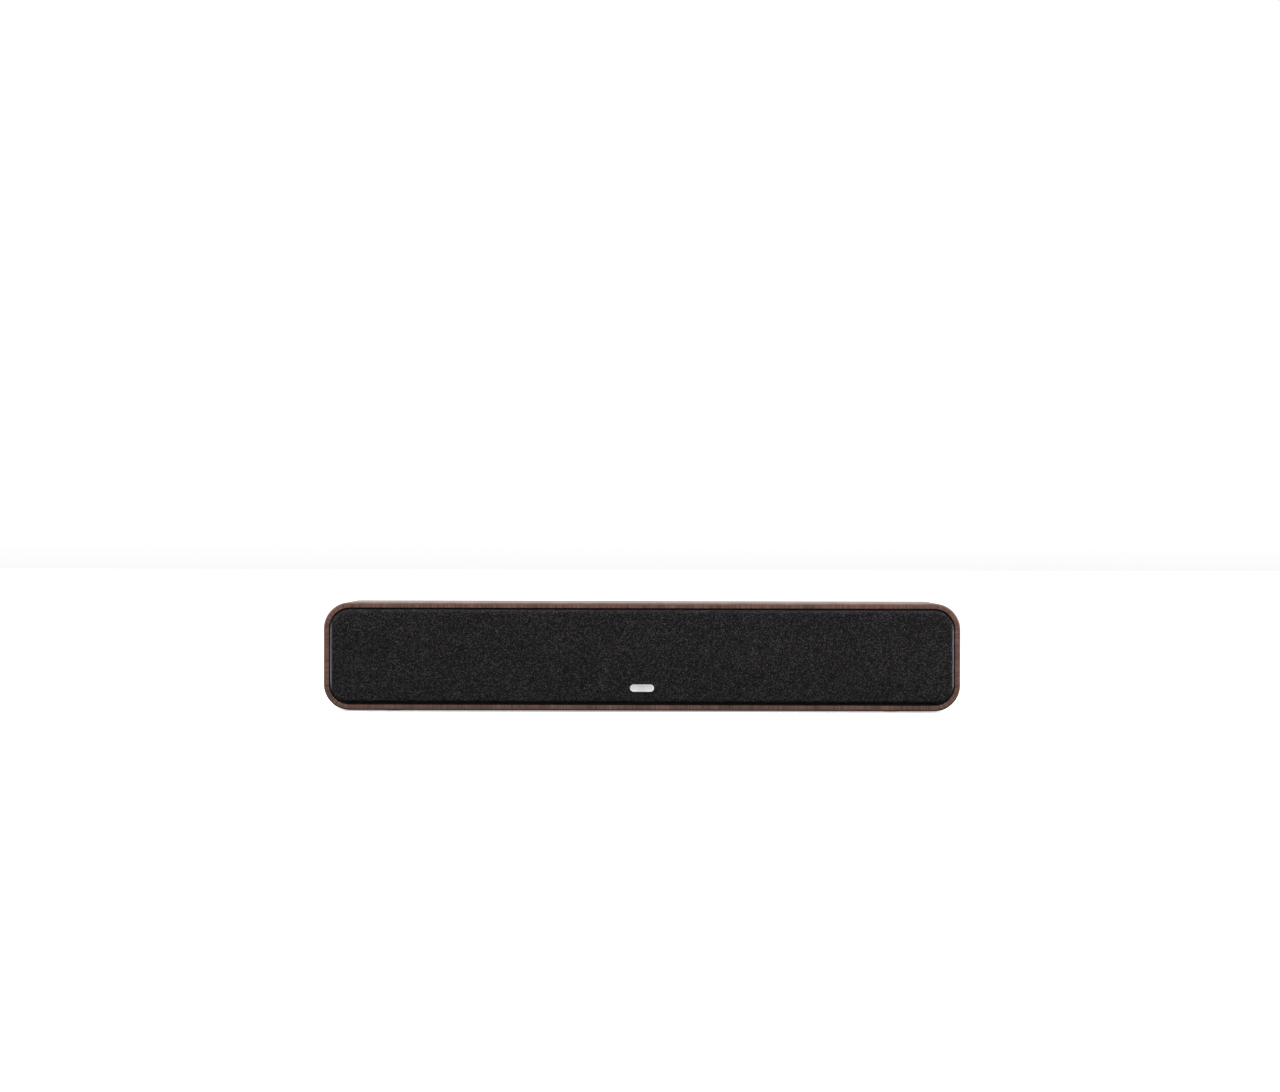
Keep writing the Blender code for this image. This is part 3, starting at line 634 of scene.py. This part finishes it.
def stretched_cloth():
    """The cloth over its frame: flat in front, turned back round the frame's soft edge."""
    node = "grille_cloth"
    face_y, back_y = low(node, 1), high(node, 1)
    bm = bmesh.new()
    skins = []
    for inset in (0.0, CLOTH):
        rows = grille_skin(inset, face_y + inset, back_y)
        skins.append([[bm.verts.new((x, y, z)) for x, z in outline] for outline, y in rows])
        for ring_a, ring_b in zip(skins[-1], skins[-1][1:]):
            bridge(bm, ring_a, ring_b)
        bm.faces.new(skins[-1][-1])
    bridge(bm, skins[0][0], skins[1][0])
    where = MIDDLE * Vector((1, 0, 1))
    cloth = mesh_object("stretched_cloth", bm, FINISHES["cloth"], where, sharp=60)
    stand_in(cloth, "grille", "cloth_black", node)


def grille_frame():
    """Moulded frame with bevelled windows and a pocket for each magnet."""
    node = "grille_frame"
    sections = grille_skin(CLOTH + SEAM, low(node, 1), high(node, 1))
    body = loft("moulded_frame", sections, FINISHES["plastic"], MIDDLE * Vector((1, 0, 1)))
    front, rear = low(node, 1), high(node, 1)
    height, radius, bevel, pocket_r = 0.076, 0.010, 0.0005, 0.0043
    windows = [(at.x, 0.077) for at in WOOFERS] + [(0.0, 0.064)]
    for x, width in windows:
        outline = rounded((width, height), radius, 10)
        wide = rounded((width + 2 * bevel, height + 2 * bevel), radius + bevel, 10)
        hole = [(outline, front - PAST), (outline, rear - bevel), (wide, rear), (wide, rear + PAST)]
        cut(body, loft("hole", hole, FINISHES["plastic"], (x, 0, MIDDLE.z)))
    for k in range(1, 5):
        at = centre(f"grille_magnet_{k}")
        profile = step_profile(low(f"grille_magnet_{k}", 1) - SEAM, (pocket_r, rear + PAST))
        cut(body, turned("hole", profile, FINISHES["plastic"], (at.x, 0, at.z), 40))
    resharpen(body)
    stand_in(body, "grille", "black_plastic", node)


def magnets():
    """Plated buttons with chamfered edges: magnets in the grille, catch discs in the baffle."""
    edge = 0.0004
    for k in range(1, 5):
        for kind, name, body, slot in (("grille_magnet", "magnet_button", "grille", "ferrite"),
                                       ("catch_disc", "catch_button", "cabinet", "steel")):
            node = f"{kind}_{k}"
            radius, half = span(node, 0) / 2, span(node, 1) / 2
            profile = [(0, -half), (radius - edge, -half), (radius, edge - half),
                       (radius, half - edge), (radius - edge, half), (0, half)]
            button = turned(f"{name}_{k}", profile, FINISHES["steel"], centre(node), 40)
            stand_in(button, body, slot, node)


def badge():
    """A plain oval plate with a raised rim and a shallow dished field."""
    node = "badge"
    at = centre(node)
    size = (span(node, 0), span(node, 2))
    front, rear = low(node, 1), high(node, 1)
    radius = size[1] / 2

    def oval(inset):
        return rounded((size[0] - 2 * inset, size[1] - 2 * inset), radius - inset, 16)

    sections = [(oval(0.0), rear), (oval(0.0), front + 0.0003), (oval(0.0001), front + 0.0001),
                (oval(0.0003), front), (oval(0.0007), front), (oval(0.0009), front + 0.00015),
                (oval(0.0014), front + 0.0002)]
    plate = loft("oval_badge", sections, FINISHES["badge"], (at.x, 0, at.z))
    stand_in(plate, "grille", "badge_silver", node)


# Screws ---------------------------------------------------------------------------------------
def screw(name, at, outward, head_r, rise):
    """Cross-recessed pan head. outward is -1 for the front and 1 for the back."""
    bm = bmesh.new()
    segments = 32
    levels = [(head_r, 0.0), (head_r, rise * 0.35), (head_r * 0.86, rise * 0.80),
              (head_r * 0.55, rise)]
    rings = []
    for radius, lift in levels:
        rings.append([bm.verts.new((x, outward * lift, z)) for x, z in ring(radius, segments)])
    for ring_a, ring_b in zip(rings, rings[1:]):
        bridge(bm, ring_a, ring_b)
    arm, width, depth = head_r * 0.50, head_r * 0.12, head_r * 0.5
    star = []
    for k in range(4):
        turn = math.pi / 2 * k
        for along, side in ((arm, -width), (arm, width), (width, width)):
            x = along * math.cos(turn) - side * math.sin(turn)
            z = along * math.sin(turn) + side * math.cos(turn)
            star.append((x, z))
    top = [bm.verts.new((x, outward * rise, z)) for x, z in star]
    bottom = [bm.verts.new((x * 0.55, outward * (rise - depth), z * 0.55)) for x, z in star]
    bridge(bm, top, bottom)
    bm.faces.new(bottom)
    edges = [bm.edges.get((rings[-1][k], rings[-1][(k + 1) % segments])) for k in range(segments)]
    edges += [bm.edges.get((top[k], top[(k + 1) % len(top)])) for k in range(len(top))]
    bmesh.ops.triangle_fill(bm, use_beauty=True, edges=edges)
    bm.faces.new(rings[0])
    stand_in(mesh_object(name, bm, FINISHES["screw"], at), "cabinet", "steel")


def screws_round(name, origin, circle_r, count, first_angle, head_r, rise):
    """A ring of screws in the front face of a driver."""
    for turn in range(count):
        angle = first_angle + 2 * math.pi / count * turn
        where = origin + Vector((circle_r * math.cos(angle), 0, circle_r * math.sin(angle)))
        screw(f"{name}_{turn + 1}", where, -1, head_r, rise)


# Woofers ------------------------------------------------------------------------------------
def woofer(k, at):
    """One woofer: chassis, four screws, surround and cone."""
    body = f"woofer_{k}_piston"
    origin = Vector((at.x, BAFFLE_Y, at.z))
    flange_r = span(f"woofer_{k}_basket", 0) / 2
    depth = span(f"woofer_{k}_basket", 1)
    mouth = 0.0360
    basket = [(flange_r, 0.0004), (flange_r, 0.0030), (0.0372, 0.0030), (0.0372, 0.0120),
              (0.0220, 0.0300), (0.0200, depth), (0.0150, depth), (0.0195, 0.0294),
              (0.0350, 0.0114), (mouth, 0.0035), (mouth, 0.0008), (mouth + 0.0003, 0.0002),
              (mouth + 0.0010, 0.0), (flange_r - 0.0004, 0.0)]
    chassis = turned(f"chassis_{k}", basket, FINISHES["satin"], origin)
    stand_in(chassis, "cabinet", "black_plastic", f"woofer_{k}_basket")
    screws_round(f"chassis_{k}_screw", origin, WOOFER_SCREW_CIRCLE, 4, math.pi / 4, 0.0016, 0.0005)
    roll(k, origin, mouth - SEAM, span(f"woofer_{k}_cone", 0) / 2 + SEAM)
    diaphragm(k, origin, span(f"woofer_{k}_cone", 0) / 2, body)


def roll(k, origin, outer_r, inner_r):
    """The surround: a dipped half roll from the chassis mouth to the cone's edge, fixed where it is
    built.
    """
    middle, half = (outer_r + inner_r) / 2, (outer_r - inner_r) / 2
    crown = half - 0.0004
    front = [(outer_r, 0.0006)] + arc((middle, 0.0009), crown, 0, 180, 14) + [(inner_r, 0.0006)]
    rear = [(inner_r, 0.0013)] + arc((middle, 0.0016), crown, 180, 0, 14) + [(outer_r, 0.0013)]
    ring_mesh = turned(f"roll_{k}", front + rear, FINISHES["roll"], origin, sharp=50)
    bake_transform(ring_mesh)
    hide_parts(f"woofer_{k}_surround")


def diaphragm(k, origin, edge_r, body):
    """Cone with faint rings, a dust cap with a glue bead, and the voice-coil former."""
    cap_r, neck_y, edge_y = 0.0125, 0.0150, 0.0006
    front = [(0, 0.0095)]
    for step in range(1, 9):
        t = step / 8
        front.append((cap_r * t, 0.0095 + 0.0053 * t ** 2.2))
    front += [(cap_r + 0.0004, 0.0146), (cap_r + 0.0009, 0.0148)]
    steps = 22
    start_r = cap_r + 0.0010
    for step in range(1, steps + 1):
        t = step / steps
        radius = start_r + (edge_r - start_r) * t
        curve = neck_y + (edge_y - neck_y) * (t ** 0.86)
        ripple = 0.00018 * math.sin(t * math.pi * 10) * (1 if 0.12 < t < 0.93 else 0)
        front.append((radius, curve + ripple))
    rear = [(edge_r, 0.0018), (0.0132, 0.0170), (0.0132, 0.0370), (0.0126, 0.0370),
            (0.0122, 0.0170), (0, 0.0150)]
    cone = turned(f"diaphragm_{k}", front + rear, FINISHES["pulp"], origin, sharp=50)
    stand_in(cone, body, "paper_cone", f"woofer_{k}_cone")


# Tweeter ------------------------------------------------------------------------------------
def tweeter():
    """Horn plate with its three screws, and the dome with its bead and coil collar."""
    node = "tweeter_faceplate"
    at = centre(node)
    origin = Vector((at.x, BAFFLE_Y, at.z))
    plate_r = span(node, 0) / 2
    mouth, flare, horn_depth, horn_steps = 0.0150, 0.0118, 0.0050, 12
    horn = []
    for step in range(horn_steps + 1):
        t = step / horn_steps
        horn.append((mouth + flare * t ** 1.5, horn_depth * (1 - t) ** 1.9))
    body = [(plate_r, 0.0004), (plate_r, 0.0030), (0.0230, 0.0030), (0.0230, 0.0090),
            (mouth, 0.0090)]
    rim = [(0.0272, 0.00025), (0.0277, 0.0), (plate_r - 0.0004, 0.0)]
    profile = body + horn + rim
    face = turned("horn_plate", profile, FINISHES["satin"], origin)
    stand_in(face, "cabinet", "black_plastic", node)
    screws_round("horn_screw", origin, TWEETER_SCREW_CIRCLE, 3, math.pi / 2, 0.0013, 0.0004)
    centre_y, dome_r, skin = 0.0166, 0.0160, 0.0004
    front = [(0, centre_y - dome_r)] + arc((0, centre_y), dome_r, 270, 318, 16)[1:]
    bead = arc((0.0131, 0.0066), 0.0010, 200, 360, 10)
    collar = [(0.0143, 0.0066), (0.0143, 0.0085), (0.0138, 0.0085), (0.0138, 0.0072)]
    rear = arc((0, centre_y), dome_r - skin, 318, 270, 16)[:-1] + [(0, centre_y - dome_r + skin)]
    dome = turned("silk_dome", front + bead + collar + rear, FINISHES["silk"], origin, sharp=60)
    stand_in(dome, "tweeter_piston", "silk", "tweeter_dome")


# Back fittings --------------------------------------------------------------------------------
def ports():
    """Flared port tubes whose flanges lie on the rear board."""
    inner, outer, lip, tip = 0.0170, 0.0190, 0.0060, 0.0010
    for side in ("left", "right"):
        node = "port_tube_" + side
        at = centre(node)
        origin = Vector((at.x, PANEL_Y, at.z))
        flange_r, face = span(node, 0) / 2, high(node, 1) - PANEL_Y
        start = low(node, 1) - PANEL_Y
        profile = [(inner + lip + 0.0010, face)] + arc((inner + lip, face - lip), lip, 90, 180, 14)
        profile += [(inner, start + 0.0030)]
        profile += arc((inner + tip, start + tip), tip, 180, 270, 4)
        profile += [(outer, start), (outer, SEAM), (flange_r, SEAM), (flange_r, face - 0.0004),
                    (flange_r - 0.0004, face)]
        tube = turned("port_" + side, profile, FINISHES["plastic"], origin)
        stand_in(tube, "cabinet", "black_plastic", node)


def cup():
    """Terminal tray with a soft mouth, a flange with four screws and two holes for the studs."""
    node = "terminal_cup"
    at = centre(node)
    face, floor = high(node, 1), low(node, 1) + 0.002
    flange = (span(node, 0), span(node, 2))
    mouth, radius, edge = (0.066, 0.048), 0.008, 0.0010

    def grown(size, corner, out):
        return rounded((size[0] + 2 * out, size[1] + 2 * out), corner + out, 10)

    outer, body = grown(flange, 0.010, 0), grown((0.070, 0.052), 0.010, 0)
    sections = [(grown(mouth, radius, -0.0015), floor),
                (grown(mouth, radius, -0.0005), floor + 0.0005),
                (grown(mouth, radius, 0), floor + 0.002)]
    sections += [(grown(mouth, radius, out), face + back_off)
                 for out, back_off in arc((edge, -edge), edge, 180, 90, 5)]
    sections += [(grown(flange, 0.010, -0.0005), face), (outer, face - 0.0004),
                 (outer, PANEL_Y + SEAM), (body, PANEL_Y + SEAM), (body, low(node, 1))]
    tray = loft("terminal_tray", sections, FINISHES["plastic"], (at.x, 0, at.z))
    for side in ("black", "red"):
        post = centre(f"post_{side}_stud")
        profile = step_profile(low(node, 1) - PAST, (0.0028, floor + PAST))
        cut(tray, turned("hole", profile, FINISHES["plastic"], (post.x, 0, post.z), 32))
    resharpen(tray)
    stand_in(tray, "cabinet", "black_plastic", node)
    for sx in (-1, 1):
        for sz in (-1, 1):
            where = Vector((at.x + sx * 0.0356, face, at.z + sz * 0.0256))
            screw(f"tray_screw_{'lr'[sx > 0]}{'bt'[sz > 0]}", where, 1, 0.0026, 0.0003)


def posts():
    """Threaded studs, bright washers and fluted knobs with a coloured body and gilt end ring."""
    cup_depth, pitch = 0.022, 0.0010
    floor = high("terminal_cup", 1) - cup_depth
    for side in ("black", "red"):
        post = f"post_{side}_"
        stud_node, washer_node, knob_node = post + "stud", post + "washer", post + "knob"
        at = centre(stud_node)
        origin = Vector((at.x, floor, at.z))
        collar, tip = 0.0018, high(stud_node, 1) - floor
        root_r, crest_r, thread, y = 0.00185, 0.0021, [], collar
        while y < tip - 0.0012:
            thread += [(root_r, y), (crest_r, y + pitch * 0.35), (crest_r, y + pitch * 0.60)]
            y += pitch
        tail = low(stud_node, 1) - floor
        shank = [(0, tail), (0.0025, tail), (0.0025, SEAM), (0.0058, SEAM),
                 (0.0058, collar - 0.0003), (0.0055, collar)]
        profile = shank + thread + [(0.0014, tip), (0, tip)]
        stud = turned(f"thread_{side}", profile, FINISHES["brass"], origin, 32)
        stand_in(stud, "cabinet", "gilt_brass", stud_node)
        low_y, high_y = low(washer_node, 1) - floor, high(washer_node, 1) - floor
        profile = [(0.0025, low_y), (0.0057, low_y), (0.0060, low_y + 0.0003),
                   (0.0060, high_y - 0.0003), (0.0057, high_y), (0.0025, high_y)]
        washer = turned(f"clamp_washer_{side}", profile, FINISHES["brass"], origin, 48)
        stand_in(washer, f"post_{side}_clamp", "gilt_brass", washer_node)
        knob(side, origin, low(knob_node, 1) - floor, high(knob_node, 1) - floor, knob_node)


def knob(side, origin, start, end, node):
    """Knob with a fluted grip, and the gilt ring round its plug hole."""
    radius = span(node, 0) / 2
    grip_from, grip_to = start + 0.0030, end - 0.0032
    flute_count, flute_depth = 12, 0.00045

    def flutes(angle, r, y):
        if r > radius - 0.0003 and grip_from <= y <= grip_to:
            return r - flute_depth * (0.5 + 0.5 * math.cos(flute_count * angle))
        return r

    profile = [(0.0025, start), (radius - 0.0008, start), (radius - 0.0004, start + 0.0004),
               (radius - 0.0004, grip_from - 0.0008), (radius, grip_from - 0.0004),
               (radius, grip_from), (radius, (grip_from + grip_to) / 2), (radius, grip_to),
               (radius, grip_to + 0.0004), (radius - 0.0006, grip_to + 0.0008),
               (radius - 0.0006, end - 0.0006),
               (radius - 0.0012, end - 0.0001), (0.0037, end - 0.0001), (0.0037, end - 0.0008),
               (0.0025, end - 0.0008)]
    cap = turned(f"knob_{side}", profile, FINISHES["post_" + side], origin, 96, flutes, sharp=40)
    stand_in(cap, f"post_{side}_cap", "post_" + side, node)
    gilt = [(0.0026, end - 0.0007), (0.0036, end - 0.0007), (0.0036, end), (0.0030, end),
            (0.0026, end - 0.0004)]
    ferrule = turned(f"knob_ferrule_{side}", gilt, FINISHES["brass"], origin, 48)
    stand_in(ferrule, f"post_{side}_cap", "gilt_brass")


def keyholes():
    """Steel plates with a keyhole, each held by two screws."""
    edge, rise, head_r, slot_r = 0.0003, 0.0045, 0.0048, 0.0024
    joined = math.degrees(math.asin(slot_r / head_r))
    outline = arc((0, -rise), head_r, 90 + joined, 450 - joined, 32)
    outline += arc((0, rise), slot_r, 0, 180, 16)
    for side in ("left", "right"):
        node = "keyhole_plate_" + side
        at = centre(node)
        size, thickness = (span(node, 0), span(node, 2)), span(node, 1)
        where = (at.x, PANEL_Y, at.z)
        sections = [(rounded(size, 0.0027, 8), -thickness), (rounded(size, 0.0027, 8), -edge),
                    (rounded((size[0] - 2 * edge, size[1] - 2 * edge), 0.0024, 8), 0)]
        plate = loft("hook_plate_" + side, sections, FINISHES["steel"], where)
        cut(plate, loft("hole", [(outline, -0.004), (outline, PAST)], FINISHES["steel"], where))
        resharpen(plate)
        stand_in(plate, "cabinet", "steel", node)
        for sz in (-1, 1):
            where = Vector((at.x, PANEL_Y, at.z + sz * 0.0135))
            screw(f"hook_screw_{side}_{'bt'[sz > 0]}", where, 1, 0.0022, 0.0005)


# Parts inside ---------------------------------------------------------------------------------
def crossover_parts():
    """Three film capacitors and four standoffs for the crossover board."""
    board = centre("crossover_board")
    top = high("crossover_board", 2)
    capacitors = ((-0.026, -0.013, 0.028, 0.0075), (-0.026, 0.006, 0.022, 0.006),
                  (-0.026, 0.020, 0.018, 0.005))
    for k, (dx, dy, length, radius) in enumerate(capacitors, start=1):
        profile = [(0, -length / 2), (radius - 0.001, -length / 2), (radius, 0.001 - length / 2),
                   (radius, length / 2 - 0.001), (radius - 0.001, length / 2), (0, length / 2)]
        part = turned(f"film_capacitor_{k}", profile, FINISHES["post_black"], segments=40)
        part.location = (board.x + dx, board.y + dy, top + radius + SEAM)
        part.rotation_euler = (0, 0, math.pi / 2)
        stand_in(part, "cabinet", "black_plastic")
    standoff_top = low("crossover_board", 2) - 0.0032
    for k, (sx, sy) in enumerate(((-1, -1), (1, -1), (1, 1), (-1, 1)), start=1):
        post = turned(f"board_standoff_{k}", [(0, 0), (0.003, 0), (0.0024, -0.0030), (0, -0.0030)],
                      FINISHES["brass"], segments=24)
        post.location = (board.x + sx * 0.039, board.y + sy * 0.024, standoff_top)
        post.rotation_euler = (-math.pi / 2, 0, 0)
        stand_in(post, "cabinet", "gilt_brass")


def carried_nodes():
    """Finishes of the CAD nodes that keep their own shape."""
    finishes = {"brace_left": "raw", "brace_right": "raw", "tweeter_magnet": "ferrite",
                "crossover_board": "board", "inductor": "copper"}
    finishes.update({f"woofer_{k}_magnet": "ferrite" for k in range(1, 7)})
    for node, finish in finishes.items():
        for material_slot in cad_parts[node].material_slots:
            material_slot.link = "OBJECT"
            material_slot.material = FINISHES[finish]


# Studio ---------------------------------------------------------------------------------------
def area_light(name, at, towards, size, power, colour=(1, 1, 1)):
    data = bpy.data.lights.new(name, "AREA")
    data.shape, data.size, data.size_y = "RECTANGLE", size[0], size[1]
    data.energy, data.color = power, colour
    lamp = bpy.data.objects.new(name, data)
    bpy.context.collection.objects.link(lamp)
    lamp.location = at
    lamp.rotation_euler = (Vector(towards) - Vector(at)).to_track_quat("-Z", "Y").to_euler()


def studio():
    """White floor and sky. Light comes from above only, so the bar's lower edges stay dark."""
    paper = Finish("pale_floor", 0.9, Specular_IOR_Level=0.1, Emission_Strength=0.5)
    mottle = paper.noise(paper.place(), 3.0, 3)
    shade = paper.ramp(mottle, (0.3, (0.88, 0.88, 0.88)), (0.7, (0.91, 0.91, 0.91)))
    paper.set("Base Color", shade)
    bm = bmesh.new()
    bmesh.ops.create_grid(bm, x_segments=8, y_segments=8, size=30)
    floor = mesh_object("floor", bm, paper.material)
    floor.visible_diffuse = floor.visible_glossy = False
    world = bpy.data.worlds.new("studio")
    world.use_nodes = True
    nodes, links = world.node_tree.nodes, world.node_tree.links
    height = nodes.new("ShaderNodeSeparateXYZ")
    sky = nodes.new("ShaderNodeMapRange")
    for key, value in (("From Min", -0.10), ("From Max", 0.0), ("To Min", 0.0), ("To Max", 1.0)):
        sky.inputs[key].default_value = value
    links.new(nodes.new("ShaderNodeTexCoord").outputs["Generated"], height.inputs[0])
    links.new(height.outputs["Z"], sky.inputs["Value"])
    links.new(sky.outputs["Result"], nodes["Background"].inputs["Strength"])
    nodes["Background"].inputs["Color"].default_value = (1, 1, 1, 1)
    bpy.context.scene.world = world
    middle = tuple(MIDDLE)
    cool = (0.90, 0.94, 1.0)
    area_light("key", (0.3, -1.8, 2.4), middle, (2.0, 1.2), 26)
    area_light("strip_left", (-2.2, -0.25, 0.9), middle, (0.9, 1.6), 40, cool)
    area_light("strip_right", (2.2, -0.25, 0.9), middle, (0.9, 1.6), 54, cool)
    scene = bpy.context.scene
    scene.view_settings.view_transform = "Standard"
    scene.view_settings.look = "None"


def camera():
    """Level view from a little above the bar's middle, far enough for a long lens."""
    distance, frame_width, sensor = 5.2, 1.224, 36.0
    data = bpy.data.cameras.new("camera")
    data.sensor_width = sensor
    data.lens = sensor * distance / frame_width
    data.clip_end = 100
    made = bpy.data.objects.new("camera", data)
    bpy.context.collection.objects.link(made)
    made.location = (-0.0022, RIM_Y - distance, MIDDLE.z + 0.106)
    made.rotation_euler = (math.pi / 2, math.radians(-0.135), 0)
    bpy.context.scene.camera = made


camera()
studio()
wood_sleeve()
baffle()
back()
feet()
grille_frame()
stretched_cloth()
magnets()
badge()
for number, place_at in enumerate(WOOFERS, start=1):
    woofer(number, place_at)
tweeter()
ports()
cup()
posts()
keyholes()
crossover_parts()
carried_nodes()
